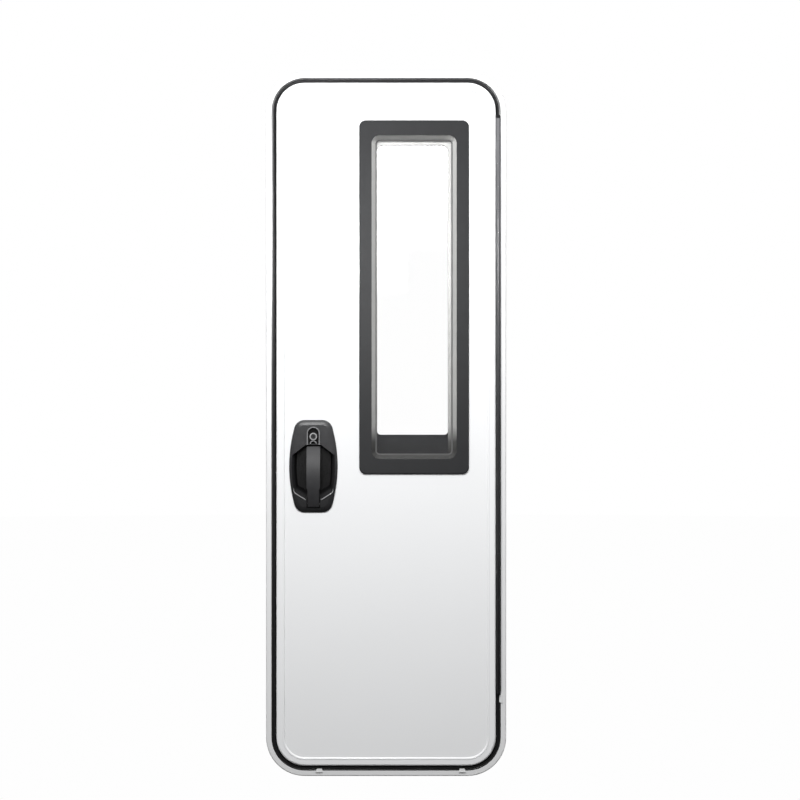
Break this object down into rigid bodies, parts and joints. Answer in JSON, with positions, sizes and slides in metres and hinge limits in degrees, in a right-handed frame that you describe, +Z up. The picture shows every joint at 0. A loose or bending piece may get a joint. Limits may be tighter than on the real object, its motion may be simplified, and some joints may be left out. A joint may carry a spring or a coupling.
{
  "type": "caravan entrance door with frame",
  "caption": "Hinged caravan entrance door in its frame, with a tall fixed window, a sprung pull handle with a lock, and a continuous hinge.",
  "frame": {"origin": "on the back face of the flange, midway along its bottom rail", "axes": "+X to the hinge side as seen from outside, +Y into the vehicle, +Z up; the outside faces -Y"},
  "size_m": [0.622, 0.0824, 1.822],
  "materials": {
    "frame_aluminium": "satin light grey powder coat on aluminium",
    "black_coated": "gloss black coat on aluminium",
    "reveal_aluminium": "satin anodised",
    "steel": "satin plated",
    "black_rubber": "matte",
    "grey_plastic": "fine grain",
    "black_plastic": "fine leather-like grain",
    "charcoal_plastic": "satin",
    "white_coated": "gloss white powder coat",
    "white_skin": "gloss white",
    "inner_panel": "satin",
    "foam": "rigid foam",
    "window_glass": "clear"
  },
  "bodies": {
    "frame": {"outer_frame": "frame_aluminium", "frame_seal": "black_rubber", "gap_seal": "black_rubber", "gap_trim": "reveal_aluminium", "striker_plate": "steel", "striker_pin": "steel", "frame_clips": "grey_plastic", "hinge_frame_wing": "black_coated", "hinge_pin": "steel", "hinge_top_cap": "black_plastic", "hinge_bottom_cap": "black_plastic"},
    "leaf": {"leaf_edge_profile": "white_coated", "outer_skin": "white_skin", "inner_skin": "inner_panel", "foam_core": "foam", "hinge_leaf_wing": "black_coated", "window_gasket": "black_rubber", "window_outer_frame": "charcoal_plastic", "window_reveal": "reveal_aluminium", "glazing_seal": "black_rubber", "window_outer_pane": "window_glass", "window_spacer": "reveal_aluminium", "window_inner_pane": "window_glass", "window_inner_frame": "charcoal_plastic", "handle_gasket": "black_rubber", "handle_housing": "black_plastic", "lock_surround": "black_plastic", "lock_cylinder": "steel", "handle_pivot_pin": "steel", "latch_case": "steel", "inner_handle_plate": "grey_plastic", "inner_handle_lever": "grey_plastic"},
    "pull": {"handle_lever": "black_plastic"},
    "plug": {"key_plug": "steel"}
  },
  "joints": [
    {"name": "door_swing", "type": "hinge", "parent": "frame", "child": "leaf", "pos_m": [0.2905, -0.009, 0.9562], "axis": [0, 0, 1], "range_deg": [0, 165]},
    {"name": "handle_pull", "type": "hinge", "parent": "leaf", "child": "pull", "pos_m": [-0.188, -0.00892, 0.6992], "axis": [1, 0, 0], "range_deg": [0, 25], "stiffness_Nm_per_rad": 1, "springref_deg": -11.46},
    {"name": "key_turn", "type": "hinge", "parent": "leaf", "child": "plug", "pos_m": [-0.188, -0.019, 0.8737], "axis": [0, 1, 0], "range_deg": [0, 90]}
  ]
}
